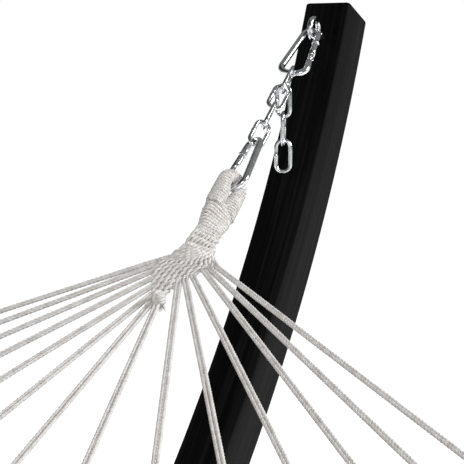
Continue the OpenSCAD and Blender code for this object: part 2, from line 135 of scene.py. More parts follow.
def on_twist(s, y=0.0, n=0.0, turn=0.0):
    """A point on the hanging line in a frame turned about it."""
    return on_line(s, *twisted(y, n, turn))


def on_harness(s, y=0.0, n=0.0):
    """A point on the harness: s from the end of the whipping, y across, n above it."""
    return WHIP + s * DOWN_HARNESS + y * ACROSS + n * OFF_HARNESS


def bed_point(angle, y, n=0.0):
    """A point on the bed's curve at an angle from its lowest line, n above it."""
    return Vector(((BED_R - n) * sin(angle), y, BED_CZ - (BED_R - n) * cos(angle)))


def on_bed(from_end, y=0.0, n=0.0):
    """A point on the bed's curve, from_end along it from its +X end, n above it."""
    return bed_point(BED_SLOPE - from_end / BED_R, y, n)


def hole_y(i):
    return HOLE_SPAN / 2 - i * HOLE_SPAN / (PAIRS - 1)


def linked(name, data):
    """An object in the scene, with its data."""
    thing = bpy.data.objects.new(name, data)
    bpy.context.scene.collection.objects.link(thing)
    return thing


# ---- camera

def make_camera():
    yaw, pitch = radians(27.59), radians(4.775)
    data = bpy.data.cameras.new("camera")
    data.sensor_width = 36
    data.lens = 133.7
    camera = linked("camera", data)
    camera.location = on_arc(ARM_ANGLE, ARC_R) + Vector((-1.976, -0.898, -0.107))
    forward = Vector((cos(yaw) * cos(pitch), sin(yaw) * cos(pitch), -sin(pitch)))
    camera.rotation_mode = "QUATERNION"
    camera.rotation_quaternion = forward.to_track_quat("-Z", "Y")
    bpy.context.scene.camera = camera


make_camera()


# ---- material helpers

class Nodes:
    """A material's node tree, with short ways to add and join nodes."""

    def __init__(self, name):
        self.material = bpy.data.materials.new(name)
        self.material.use_nodes = True
        self.tree = self.material.node_tree
        self.shader = self.tree.nodes["Principled BSDF"]
        self.place = self.add("ShaderNodeTexCoord").outputs["Object"]

    def feed(self, socket, value):
        """Joins a node's output to a socket, or sets the socket; a colour may leave out its alpha."""
        if isinstance(value, bpy.types.NodeSocket):
            self.tree.links.new(value, socket)
        else:
            socket.default_value = (*value, 1) if socket.type == "RGBA" else value

    def add(self, kind, **inputs):
        node = self.tree.nodes.new(kind)
        self.set(node, **inputs)
        return node

    def set(self, node=None, **inputs):
        """Feeds the sockets of a node, or of the shader; a _ in a name stands for a space."""
        for key, value in inputs.items():
            self.feed((node or self.shader).inputs[key.replace("_", " ")], value)

    def math(self, operation, a, b=0.0):
        node = self.tree.nodes.new("ShaderNodeMath")
        node.operation = operation
        self.feed(node.inputs[0], a)
        self.feed(node.inputs[1], b)
        return node.outputs[0]

    def times(self, a, b):
        return self.math("MULTIPLY", a, b)

    def plus(self, a, b):
        return self.math("ADD", a, b)

    def blend(self, a, share, b, other):
        """a times share plus b times other."""
        return self.plus(self.times(a, share), self.times(b, other))

    def split(self, vector):
        return self.add("ShaderNodeSeparateXYZ", Vector=vector).outputs

    def join(self, x, y, z):
        return self.add("ShaderNodeCombineXYZ", X=x, Y=y, Z=z).outputs[0]

    def scaled(self, vector, x, y, z):
        return self.add("ShaderNodeMapping", Vector=vector, Scale=(x, y, z)).outputs[0]

    def noise(self, vector, scale, detail=3.0, rough=0.5, distortion=0.0):
        return self.add("ShaderNodeTexNoise", Vector=vector, Scale=scale, Detail=detail,
                        Roughness=rough, Distortion=distortion).outputs["Fac"]

    def ramp(self, value, stops):
        node = self.add("ShaderNodeValToRGB", Fac=value)
        elements = node.color_ramp.elements
        while len(elements) < len(stops):
            elements.new(0.5)
        for element, (position, colour) in zip(elements, stops):
            element.position = position
            element.color = (*colour, 1)
        return node.outputs["Color"]

    def span(self, value, low, high, to_low=0.0, to_high=1.0):
        return self.add("ShaderNodeMapRange", Value=value, From_Min=low, From_Max=high, To_Min=to_low,
                        To_Max=to_high).outputs["Result"]

    def bump(self, height, strength, distance):
        node = self.add("ShaderNodeBump", Height=height, Strength=strength, Distance=distance)
        self.set(Normal=node.outputs["Normal"])

    def mix(self, factor, a, b):
        node = self.tree.nodes.new("ShaderNodeMix")
        node.data_type = "RGBA"
        for socket, value in zip([s for s in node.inputs if s.enabled], (factor, a, b)):
            self.feed(socket, value)
        return next(s for s in node.outputs if s.enabled)


def along_arc(m):
    """Coordinates along the curved beams: length along the curve, across the stand, and depth."""
    x, y, z = m.split(m.place)
    up = m.math("SUBTRACT", ARC_Z, z)
    angle = m.math("ARCTAN2", x, up)
    radius = m.math("SQRT", m.plus(m.times(x, x), m.times(up, up)))
    return m.join(m.times(angle, ARC_R), y, radius)


def black_wood(name, place_of):
    """Black-stained softwood: matt, with fine long grain, wider streaks and worn, paler fibres."""
    m = Nodes(name)
    place = place_of(m)
    fine = m.noise(m.scaled(place, 6, 420, 420), 1.0, 4.0, 0.6)
    streak = m.noise(m.scaled(place, 1.6, 70, 70), 1.0, 3.0, 0.55, 0.6)
    cloud = m.noise(m.scaled(place, 3, 9, 9), 1.0, 2.0)
    tone = m.blend(fine, 0.5, streak, 0.5)
    colour = m.ramp(tone, [(0.34, (0.0004, 0.0004, 0.0005)), (0.50, (0.0018, 0.0018, 0.0019)),
                           (0.64, (0.012, 0.0115, 0.0115))])
    tinted = m.mix(m.span(cloud, 0.35, 0.7), colour, (0.0014, 0.0014, 0.0015))
    m.set(Base_Color=m.mix(0.35, colour, tinted), Roughness=m.span(fine, 0.3, 0.7, 0.50, 0.72),
          Specular_IOR_Level=0.07)
    m.bump(m.plus(fine, m.times(streak, 0.7)), 0.35, 0.0006)
    return m.material


def along_y(m):
    """Coordinates with the length along Y first."""
    x, y, z = m.split(m.place)
    return m.join(y, x, z)


def bare_wood():
    """Oiled hardwood rod: straight grain along Y with darker pores and slow colour change."""
    m = Nodes("bare_wood")
    place = along_y(m)
    rings = m.noise(m.scaled(place, 1.2, 60, 60), 1.0, 4.0, 0.6, 1.2)
    pores = m.noise(m.scaled(place, 14, 700, 700), 1.0, 2.0, 0.6)
    colour = m.ramp(rings, [(0.28, (0.36, 0.20, 0.095)), (0.5, (0.52, 0.33, 0.17)),
                            (0.72, (0.63, 0.43, 0.25))])
    dark = m.span(pores, 0.56, 0.66, 0.0, 0.45)
    m.set(Base_Color=m.mix(dark, colour, (0.22, 0.12, 0.06)), Roughness=m.span(rings, 0.3, 0.7, 0.38, 0.55))
    m.bump(m.blend(rings, 0.6, pores, -0.5), 0.25, 0.0005)
    return m.material


def zinc(name, dull=0.0):
    """Bright zinc plating: a mottled, slightly uneven metal with fine drawing marks."""
    m = Nodes(name)
    mottle = m.noise(m.place, 150, 2.0, 0.5)
    fine = m.noise(m.place, 2200, 2.0, 0.5)
    colour = m.ramp(mottle, [(0.3, (0.56, 0.58, 0.60)), (0.7, (0.74, 0.75, 0.77))])
    m.set(Base_Color=colour, Roughness=m.span(mottle, 0.3, 0.7, 0.10 + dull, 0.17 + dull), Metallic=1.0)
    m.bump(m.blend(mottle, 0.7, fine, 0.3), 0.02, 0.0002)
    return m.material


def cotton_cord():
    """Undyed cotton cord: matt fibres, slightly uneven tone, dusty in places."""
    m = Nodes("cotton_cord")
    fibre = m.noise(m.place, 1500, 3.0, 0.6)
    tone = m.noise(m.place, 130, 2.0, 0.5)
    colour = m.ramp(m.blend(fibre, 0.3, tone, 0.7),
                    [(0.36, (0.74, 0.69, 0.66)), (0.5, (0.86, 0.835, 0.81)), (0.62, (0.94, 0.925, 0.905))])
    m.set(Base_Color=colour, Roughness=m.span(fibre, 0.3, 0.7, 0.82, 0.95), Specular_IOR_Level=0.2,
          Sheen_Weight=0.25, Sheen_Roughness=0.5)
    m.bump(fibre, 0.25, 0.0003)
    return m.material


def canvas():
    """Plain-woven undyed canvas: crossing threads a millimetre apart with painted shade where they dip, slubs
    and soft stains.
    """
    m = Nodes("canvas")
    x, y, z = m.split(m.place)
    along = m.times(m.math("ARCTAN2", x, m.math("SUBTRACT", BED_CZ, z)), BED_R)
    warp = m.math("SINE", m.times(along, tau / 0.0022))
    weft = m.math("SINE", m.times(y, tau / 0.0022))
    weave = m.times(warp, weft)
    slub = m.noise(m.join(m.times(along, 9), m.times(y, 420), 0.0), 1.0, 2.0)
    cross = m.noise(m.join(m.times(along, 420), m.times(y, 9), 3.0), 1.0, 2.0)
    stain = m.noise(m.place, 5.0, 4.0, 0.6)
    tone = m.blend(slub, 0.5, cross, 0.5)
    colour = m.ramp(tone, [(0.33, (0.70, 0.66, 0.58)), (0.5, (0.82, 0.785, 0.71)),
                           (0.68, (0.89, 0.86, 0.80))])
    colour = m.mix(m.span(stain, 0.45, 0.75, 0.0, 0.35), colour, (0.64, 0.60, 0.52))
    # Painted shade: the colour darkens where the weave is low, where one thread dips under another.
    colour = m.mix(m.span(weave, -1, 1, 0.18, 0.0), colour, (0.45, 0.41, 0.34))
    m.set(Base_Color=colour, Roughness=m.span(tone, 0.3, 0.7, 0.86, 0.96), Sheen_Weight=0.2)
    m.bump(m.plus(m.times(weave, 0.5), tone), 0.4, 0.0004)
    return m.material


def rubber():
    m = Nodes("rubber")
    grain = m.noise(m.place, 900, 3.0, 0.6)
    m.set(Base_Color=m.ramp(grain, [(0.3, (0.018, 0.018, 0.018)), (0.7, (0.045, 0.045, 0.045))]),
          Roughness=m.span(grain, 0.3, 0.7, 0.7, 0.9))
    m.bump(grain, 0.3, 0.0004)
    return m.material


WOOD_ARC = black_wood("black_wood_arc", along_arc)
WOOD_FOOT = black_wood("black_wood_foot", along_y)
BARE_WOOD = bare_wood()
ZINC = zinc("zinc")
ZINC_DULL = zinc("zinc_dull", 0.12)
COTTON = cotton_cord()
CANVAS = canvas()
RUBBER = rubber()


def paint(names, material):
    """Gives the CAD nodes that stay in view their material."""
    for name in names:
        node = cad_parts[name]
        node.data.materials.clear()
        node.data.materials.append(material)


paint(["side_beam_left", "side_beam_right"], WOOD_ARC)
paint(["foot_a", "foot_b"], WOOD_FOOT)
paint(["foot_pads"], RUBBER)
paint(["bar_a", "bar_b"], BARE_WOOD)
paint(["beam_bolts", "beam_nuts", "foot_screws", "eye_nuts"], ZINC)
paint(["beam_washers", "foot_washers", "eye_washers"], ZINC_DULL)


# ---- mesh helpers

def smoothed(mesh):
    mesh.polygons.foreach_set("use_smooth", [True] * len(mesh.polygons))


def new_object(name, verts, faces, material, body="hammock"):
    """A smooth-shaded mesh piece that rides on a body."""
    mesh = bpy.data.meshes.new(name)
    mesh.from_pydata([tuple(v) for v in verts], [], faces)
    mesh.update()
    smoothed(mesh)
    mesh.materials.append(material)
    thing = linked(name, mesh)
    if body:
        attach(thing, body)
    return thing


def tube_faces(rings, sides, closed=False):
    """Faces of a tube made of rings of points. It is capped unless its last ring joins the first."""
    faces = []
    for i in range(rings if closed else rings - 1):
        j = (i + 1) % rings
        for k in range(sides):
            m = (k + 1) % sides
            faces.append((i * sides + k, i * sides + m, j * sides + m, j * sides + k))
    if not closed:
        faces.append(tuple(reversed(range(sides))))
        faces.append(tuple(range((rings - 1) * sides, rings * sides)))
    return faces


def swept(points, section, closed=False, up=None):
    """Verts and faces of a tube along points. section(i, t) gives a ring of (across, off) pairs at
    point i, where t is the length so far. The ring's frame is carried along without twist."""
    count = len(points)
    tangents = []
    for i in range(count):
        a = points[(i - 1) % count] if closed or i > 0 else points[i]
        b = points[(i + 1) % count] if closed or i < count - 1 else points[i]
        tangents.append((b - a).normalized())
    first = up or UP
    side = first - first.dot(tangents[0]) * tangents[0]
    if side.length < 1e-6:
        side = Vector((1, 0, 0)) - tangents[0].x * tangents[0]
    side.normalize()
    verts, length = [], 0.0
    for i in range(count):
        if i:
            length += (points[i] - points[i - 1]).length
            side = side - side.dot(tangents[i]) * tangents[i]
            side.normalize()
        other = tangents[i].cross(side)
        ring = section(i, length)
        verts += [points[i] + a * side + b * other for a, b in ring]
    return verts, tube_faces(count, len(ring), closed)


def oval(a, b, sides):
    """Points round an oval that reaches a and b."""
    return [(a * cos(tau * k / sides), b * sin(tau * k / sides)) for k in range(sides)]


def round_section(radius, sides=16):
    """A round section. radius is a length, or gives one from (i, t)."""
    def section(i, t):
        r = radius(i, t) if callable(radius) else radius
        return oval(r, r, sides)
    return section


def rope_section(diameter, pitch, sides=12, phase=0.0):
    """Section of a laid rope: three round strands that turn once in each pitch."""
    outer = diameter / 2
    centre = outer * 0.52
    third = tau / 3
    ring = []
    for k in range(sides):
        folded = (tau * k / sides + third / 2) % third - third / 2
        inside = (outer - centre) ** 2 - (centre * sin(folded)) ** 2
        reach = centre * cos(folded) + sqrt(inside) if inside >= 0 else 0
        ring.append((tau * k / sides, max(outer * 0.80, reach)))

    def section(i, t):
        turn = phase + tau * t / pitch
        return [(r * cos(angle + turn), r * sin(angle + turn)) for angle, r in ring]
    return section


def resample(points, step):
    """The same line with points step apart."""
    lengths = list(accumulate(((b - a).length for a, b in zip(points, points[1:])), initial=0.0))
    total = lengths[-1]
    count = max(2, round(total / step))
    out, j = [], 0
    for i in range(count + 1):
        want = total * i / count
        while j < len(lengths) - 2 and lengths[j + 1] < want:
            j += 1
        part = (want - lengths[j]) / max(lengths[j + 1] - lengths[j], 1e-12)
        out.append(points[j].lerp(points[j + 1], min(max(part, 0), 1)))
    return out


def softened(points, times):
    """Corners rounded by cutting them, with the ends kept."""
    for _ in range(times):
        cut = [points[0]]
        for a, b in zip(points, points[1:]):
            cut += [a.lerp(b, 0.25), a.lerp(b, 0.75)]
        points = cut + [points[-1]]
    return points


def length_of(points):
    return sum((b - a).length for a, b in zip(points, points[1:]))


def joined(parts):
    """One list of verts and faces from several."""
    verts, faces = [], []
    for more_verts, more_faces in parts:
        start = len(verts)
        verts += more_verts
        faces += [tuple(start + k for k in face) for face in more_faces]
    return verts, faces


def twinned(piece, name, nodes, body):
    """Adds a piece's mirror image at the other end. name, nodes and body have {} for the end's letter."""
    mesh = piece.data.copy()
    mesh.name = name.format("b")
    mesh.transform(Matrix.Scale(-1, 4, (1, 0, 0)))
    mesh.flip_normals()
    twin = linked(mesh.name, mesh)
    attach(twin, body.format("b"))
    for thing, end in zip((piece, twin), "ab"):
        if nodes:
            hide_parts(*[node.format(end) for node in nodes])
    return [piece, twin]


def both_ends(name, parts, material, nodes=(), body="hammock"):
    """A piece at the +X end and its mirror image at the other."""
    piece = new_object(name.format("a"), *joined(parts), material, body.format("a"))
    return twinned(piece, name, nodes, body)


# ---- harness cords

def harness_route(i):
    """One doubled cord: from the clew through the bar's hole and the eyelet, and back beside itself."""
    s, y = EXITS[i][0] * MM, EXITS[i][1] * MM
    end_y = hole_y(i)
    through = directions((HARNESS_SLOPE + BED_SLOPE) / 2)[0]
    half = BAR_D / 2 + 7 * MM

    def leg(side):
        hole = Vector((BAR.x, end_y + side * PAIR_GAP, BAR.z))
        start = on_harness(s, y + side * PAIR_GAP)
        direction = (hole - through * half - start).normalized()
        mouth = hole - through * (half - 3 * MM)
        rise = EYELET_RISE * side
        near = on_bed(-16 * MM, end_y + side * PAIR_GAP * 0.8, 2.2 * MM * side)
        over = on_bed(3 * MM, end_y, rise)
        edge = on_bed(EYELET_IN - 5 * MM, end_y, rise)
        return [start, start + direction * 6 * MM, mouth - direction * 8 * MM, mouth,
                hole + through * (half - 3 * MM), near, over, edge]

    top, bottom = leg(1), leg(-1)
    turn = [on_bed(EYELET_IN + 1.5 * MM, end_y, 4 * MM), on_bed(EYELET_IN + 1.5 * MM, end_y, -4 * MM)]
    return top + turn + list(reversed(bottom))


def make_harness():
    """Fourteen doubled cords at each end, laid with three strands."""
    for i in range(PAIRS):
        line = resample(softened(harness_route(i), 3), 2.2 * MM)
        rope = swept(line, rope_section(CORD_D, CORD_LAY, phase=i * 1.3))
        cords = both_ends("cord_{}_" + f"{i + 1:02d}", [rope], COTTON, ["harness_{}", "bed_loops_{}"])


make_harness()


# ---- clew

CLEW_ROW = 5.2 * MM
CLEW_FIRST_ROW = 16 * MM
CLEW_TWIST = 19 * MM
CLEW_WIDE = 1.5
CLEW_HIGH = 2.3


def between(table, x):
    """Straight lines between the table's points, and their end values outside them."""
    if x <= table[0][0]:
        return table[0][1]
    for (x0, y0), (x1, y1) in zip(table, table[1:]):
        if x <= x1:
            return y0 + (y1 - y0) * (x - x0) / (x1 - x0)
    return table[-1][1]


def eased(x):
    x = min(max(x, 0.0), 1.0)
    return x * x * (3 - 2 * x)


LEFT = EXITS[:7]
RIGHT = sorted(EXITS[7:])
LEFT_EDGE = [(-18, 12), (0, 12.5), (19, 14), (33, 23)] + LEFT
RIGHT_EDGE = [(-18, -12), (0, -12.5), (19, -16.5), (33, -25)] + RIGHT
LEFT_RANK = [(s, i) for i, (s, y) in enumerate(LEFT)]
RIGHT_RANK = [(s, EXITS.index((s, y))) for s, y in RIGHT]


def clew_y(i, s):
    """Where pair i lies across the clew at s, in millimetres, before it leaves."""
    left, right = between(LEFT_EDGE, s), between(RIGHT_EDGE, s)
    first, last = between(LEFT_RANK, s), between(RIGHT_RANK, s)
    return left + (i - first) / max(last - first, 0.5) * (right - left)


def on_clew(s, y, n):
    """A point of the clew, which is turned where it comes out of the whipping and lies flat further on."""
    turn = WHIP_TURN * (1 - eased((s / MM + 6) / 46))
    return on_harness(s, *twisted(y, n, turn))


def warp_line(k):
    """The middle line of one of the clew's 28 lengthwise cords, and then the first of its run outwards."""
    i, side = k // 2, 1 - 2 * (k % 2)
    exit_s, exit_y = EXITS[i]
    points = []
    s = -18.0
    last = exit_s - 5
    while s < last:
        open_out = eased((s - 2) / 20)
        fade = eased((exit_s - 2 - s) / 9)
        angle = tau * s / (CLEW_TWIST / MM) + pi / 2 * (i % 2) + (0 if side > 0 else pi)
        across = 1.15 * side * (1 - fade) * 2 + fade * CLEW_WIDE * sin(angle)
        lift = fade * (CLEW_HIGH * cos(angle)) + (1 - open_out) * 2.6 * (1 - 2 * (i % 2))
        points.append(on_clew(s * MM, (clew_y(i, s) + across) * MM, lift * MM))
        s += 0.9
    exit_point = on_harness(exit_s * MM, exit_y * MM + side * PAIR_GAP)
    hole = Vector((BAR.x, hole_y(i) + side * PAIR_GAP, BAR.z))
    out = (hole - exit_point).normalized()
    points += [exit_point - out * 1.5 * MM, exit_point + out * 4 * MM]
    return points


def make_clew():
    """The woven clew: 28 lengthwise cords, and crossing cords that lie between them row by row."""
    parts = []
    for k in range(2 * PAIRS):
        line = resample(softened(warp_line(k), 1), 1.3 * MM)
        parts.append(swept(line, rope_section(CORD_D * 0.84, CORD_LAY, phase=k * 0.9)))
    row = CLEW_FIRST_ROW
    while row < 112 * MM:
        s = row / MM
        left, right = between(LEFT_EDGE, s), between(RIGHT_EDGE, s)
        count = max(4, int((left - right) / 1.5))
        across = [left + 0.6 + (right - left - 1.2) * j / count for j in range(count + 1)]
        line = [on_clew(row, y * MM, 0.0) for y in across]
        parts.append(swept(line, rope_section(2.4 * MM, 12 * MM, phase=s)))
        row += CLEW_ROW
    both_ends("clew_weave_{}", parts, COTTON, ["clew_{}"])


make_clew()


# ---- whipped loop

WHIP_CORD = 4.3 * MM
WHIP_PITCH = 3.9 * MM
WHIP_LAY = 13 * MM
WOUND_SIDES, BODY_SIDES = 26, 64
LEG_SEED, BODY_SEED = 11, 5
WOBBLE = 0.25 * MM
LEG_LEN = 38 * MM
LEG_GROWS = 2.0 * MM
JOINT_FROM = LOOP_S + 33 * MM


def wound(path, radius):
    """A cord wound in close turns round a path. radius(t) gives its middle line's distance from the path."""
    rng = random.Random(LEG_SEED)
    fine = resample(path, 0.4 * MM)
    total = length_of(fine)
    turns = total / WHIP_PITCH
    wobble = [rng.uniform(-WOBBLE, WOBBLE) for _ in range(int(turns) + 3)]
    line = []
    for q in range(int(turns * WOUND_SIDES) + 1):
        turn = q / WOUND_SIDES
        t = total * turn / turns
        index = min(int(t / total * (len(fine) - 1)), len(fine) - 2)
        part = t / total * (len(fine) - 1) - index
        middle = fine[index].lerp(fine[index + 1], part)
        forward = (fine[index + 1] - fine[index]).normalized()
        normal = plane_normal(forward)
        sideways = normal.cross(forward).normalized()
        r = radius(t) + wobble[int(turn)] * (1 - turn % 1) + wobble[int(turn) + 1] * (turn % 1)
        line.append(middle + r * cos(tau * turn) * sideways + r * sin(tau * turn) * normal)
    return swept(line, rope_section(WHIP_CORD, WHIP_LAY, sides=10, phase=LEG_SEED))


def plane_normal(forward):
    """Square to the loop's plane and to a direction in it."""
    normal = sin(LOOP_TURN) * ACROSS + cos(LOOP_TURN) * OFF_LINE
    return (normal - normal.dot(forward) * forward).normalized()


def stadium(a, b, angle):
    """A point on a flat oval: two half circles of radius b joined by straights, a wide each way."""
    straight, bend = a - b, pi * b
    half = bend + 2 * straight
    t = angle / tau % 1 * 2 * half
    flip = 1 if t < half else -1
    t %= half
    if t < straight:
        x, y = t, b
    elif t < straight + bend:
        x, y = straight + b * sin((t - straight) / b), b * cos((t - straight) / b)
    else:
        x, y = half - t, -b
    return flip * x, flip * y


def whip_turn(done):
    return LOOP_TURN + (WHIP_TURN - LOOP_TURN) * eased(done)


def whip_core():
    """The flat inside of the whipped body, which turns with it."""
    flat = [stadium(17.0 * MM, 5.0 * MM, tau * k / 40) for k in range(40)]
    verts = []
    for j in range(25):
        done = j / 24
        s = JOINT_FROM - 4 * MM + (WHIP_S - JOINT_FROM + 3 * MM) * done
        narrow = 1 - 0.40 * eased((done - 0.1) / 0.9)
        verts += [on_twist(s, y * narrow, n, whip_turn(done)) for y, n in flat]
    return verts, tube_faces(25, 40)


def closing(down):
    """How far the two legs have closed the gap under the hook, down being the share of their length."""
    return eased(down / 0.5)


def make_loop():
    """The rope loop round the lower hook: two wound legs that join into one flat wound body."""
    parts = []
    bend = [pi * j / 32 for j in range(33)]
    core = [(LOOP_S + LEG_LEN * (1 - j / 8), LOOP_R - 1.1 * LEG_GROWS * closing(1 - j / 8)) for j in range(8)]
    core += [(LOOP_S - LOOP_R * sin(a), LOOP_R * cos(a)) for a in bend]
    core += [(LOOP_S + LEG_LEN * j / 8, -LOOP_R + 1.1 * LEG_GROWS * closing(j / 8)) for j in range(1, 9)]
    core = [on_twist(s, y, 0.0, LOOP_TURN) for s, y in core]
    inside = round_section(LEG_R - 2.6 * MM, 20)
    parts.append(swept(resample(core, 2 * MM), inside, up=plane_normal(DOWN_LINE)))
    reach = LEG_R - WHIP_CORD / 2
    total = length_of(core)

    def leg_radius(t):
        return reach + LEG_GROWS * closing(1 - min(t, total - t) / LEG_LEN)
    parts.append(wound(core, leg_radius))

    rng = random.Random(BODY_SEED)
    turns = int((WHIP_S - JOINT_FROM) / WHIP_PITCH)
    offsets = [(rng.uniform(-0.5, 0.5) * MM, rng.uniform(-0.4, 0.4) * MM) for _ in range(turns + 2)]
    line = []
    for q in range(turns * BODY_SIDES + 1):
        turn = q / BODY_SIDES
        done = turn / turns
        s = JOINT_FROM + done * (WHIP_S - JOINT_FROM - 2 * MM)
        o0, o1 = offsets[int(turn)], offsets[int(turn) + 1]
        part = turn % 1
        wide = (20.5 - 6.5 * eased((done - 0.1) / 0.9)) * MM + o0[0] * (1 - part) + o1[0] * part
        thick = (7.6 - 1.0 * done) * MM + o0[1] * (1 - part) + o1[1] * part
        y, n = stadium(wide - WHIP_CORD / 2, thick - WHIP_CORD / 2 + 0.6 * MM, tau * turn)
        line.append(on_twist(s, y, n, whip_turn(done)))
    parts.append(swept(resample(line, 1.5 * MM), rope_section(WHIP_CORD, WHIP_LAY, sides=10)))
    parts.append(whip_core())
    both_ends("whipped_loop_{}", parts, COTTON, ["loop_{}"])


make_loop()


# ---- knot at the clew's tip

KNOT_S, KNOT_Y = 112 * MM, 3 * MM
KNOT_CORD = 4.3 * MM
KNOT_LAY = 14 * MM
KNOT_TURNS = 4
KNOT_SIDES = 28
FIBRES = 34


def make_knot():
    """A small wound knot with two tails and frayed fibres."""
    rng = random.Random(3)
    centre = on_harness(KNOT_S - 2 * MM, KNOT_Y, 3 * MM)
    along = (0.55 * DOWN_HARNESS - 0.2 * ACROSS - 0.8 * OFF_HARNESS).normalized()
    side = along.cross(OFF_HARNESS).normalized()
    third = along.cross(side)
    parts = []
    line = []
    for q in range(KNOT_TURNS * KNOT_SIDES + 1):
        angle = tau * q / KNOT_SIDES
        level = q / (KNOT_TURNS * KNOT_SIDES) - 0.5
        radius = (5.6 - 2.0 * (2 * abs(level)) ** 2) * MM
        line.append(centre + along * (level * 13 * MM)
                    + radius * (cos(angle) * side + sin(angle) * third))
    parts.append(swept(resample(line, 1.2 * MM), rope_section(KNOT_CORD, KNOT_LAY)))
    over = []
    slant = side * 0.6 - third * 0.8
    for q in range(33):
        angle = pi * (q / 32 * 1.5 - 0.25)
        over.append(centre + 7.2 * MM * cos(angle) * along + 7.0 * MM * sin(angle) * slant)
    parts.append(swept(resample(over, 1.2 * MM), rope_section(KNOT_CORD, KNOT_LAY, phase=1)))
    core = [centre + along * (q - 4) * 1.3 * MM for q in range(9)]
    parts.append(swept(core, round_section(4.2 * MM, 14)))
    for j, lean in enumerate((0.12, -0.15)):
        tail = [centre + along * (4 + q * 1.2) * MM + side * lean * q * q * 0.7 * MM for q in range(5)]
        parts.append(swept(resample(tail, 1.2 * MM), rope_section(4.0 * MM, 13 * MM, phase=j)))
        end = tail[-1]
        way = (tail[-1] - tail[-2]).normalized()
        for _ in range(FIBRES):
            spread = Vector((rng.uniform(-1, 1), rng.uniform(-1, 1), rng.uniform(-1, 1)))
            start = end + spread * 1.1 * MM - way * 1 * MM
            reach = rng.uniform(2, 4.5) * MM
            bend = Vector((rng.uniform(-1, 1), rng.uniform(-1, 1), rng.uniform(-1, 0.2)))
            fibre = [start + (way + spread * 0.45) * reach * u + bend * 0.5 * reach * u * u
                     for u in (0, 0.25, 0.5, 0.75, 1)]
            parts.append(swept(fibre, round_section(lambda i, t: (0.24 - 0.035 * i) * MM, 5)))
    both_ends("clew_knot_{}", parts, COTTON, ["knot_{}"])


make_knot()


# ---- metal hardware

def local_frame(origin, x, y, turn=0.0):
    """A 4 x 4 matrix that puts local points in a frame with the given X and Y directions, turned about X."""
    m = Matrix((x, y, x.cross(y))).transposed().to_4x4()
    m.translation = origin
    return m @ Matrix.Rotation(turn, 4, "X")


def moved(shape, place):
    """A shape's verts and faces, put in a frame."""
    verts, faces = shape
    return [place @ p for p in verts], faces


def arc(cx, cy, r, start, turn, count):
    angles = [start + turn * j / count for j in range(count + 1)]
    return [Vector((cx + r * cos(angle), cy + r * sin(angle), 0)) for angle in angles]


def lathed(profile, place, sides=40, closed=False):
    """A turned shape: profile points (radius, height) in millimetres about the local Z axis."""
    verts = [place @ Vector((a, b, z * MM)) for r, z in profile for a, b in oval(r * MM, r * MM, sides)]
    return verts, tube_faces(len(profile), sides, closed)


CORNER_X = SNAP_LONG - CORNER_R
CORNER_Y = SNAP_HALF - CORNER_R
SIDE_DIST = hypot(CORNER_X - NECK_R, CORNER_Y)
SIDE_TURN = atan2(CORNER_Y, CORNER_X - NECK_R) + acos((NECK_R - CORNER_R) / SIDE_DIST)
NECK_END = Vector((NECK_R + NECK_R * cos(SIDE_TURN), -NECK_R * sin(SIDE_TURN), 0))
CORNER_END = Vector((CORNER_X + CORNER_R * cos(SIDE_TURN),
                     -CORNER_Y - CORNER_R * sin(SIDE_TURN), 0))
GATE_SIDE = (CORNER_END - NECK_END).normalized()
PLATE_HALF = 1.5 * MM
PIN_EYE = 3.3 * MM


def gate_point(s):
    return NECK_END + GATE_SIDE * s


def snap_parts(place):
    """The hook's wire from its pin eye round the wide end, up the spine and over to the nose."""
    shoulder = GATE_PIN_S + SNAP_R + 0.5 * MM
    eye = [gate_point(GATE_PIN_S - PIN_EYE + j * 0.4 * MM) for j in range(4)]
    line = eye + [gate_point(GATE_PIN_S), gate_point(GATE_PIN_S + 2.4 * MM)]
    line += [gate_point(shoulder + on * MM) for on in (-0.8, -0.3, 0, 0.5)]
    start = len(line)
    line += arc(CORNER_X, -CORNER_Y, CORNER_R, -SIDE_TURN, SIDE_TURN, 16)
    line += arc(CORNER_X, CORNER_Y, CORNER_R, 0, SIDE_TURN, 16)
    spine_neck, spine_corner = Vector((NECK_END.x, -NECK_END.y, 0)), Vector((CORNER_END.x, -CORNER_END.y, 0))
    line += [spine_neck.lerp(spine_corner, 1 - j / 6) for j in range(1, 6)]
    line += arc(NECK_R, 0, NECK_R, SIDE_TURN, tau - 2 * SIDE_TURN, 22)
    line.append(gate_point(NOSE_S * 0.45))
    line += [gate_point(NOSE_S - back * MM) for back in (4.2, 3.4, 2.8, 0.7, 0.25, 0)]
    halves = [(PLATE_HALF, share * PIN_EYE) for share in (0.30, 0.72, 0.9, 1, 1, 1, 1)]
    halves += [(a * SNAP_R, b * SNAP_R) for a, b in ((0.6, 0.9), (0.86, 0.95), (0.97, 0.99))]
    nose = [1.0, 1.0, 1.06, 1.16, 1.16, 1.10, 0.9]
    halves += [(SNAP_R, SNAP_R)] * (len(line) - start - len(nose))
    halves += [(SNAP_R * share, SNAP_R * share) for share in nose]
    return [moved(swept(line, lambda i, t: oval(*halves[i], 24), up=UP), place)]


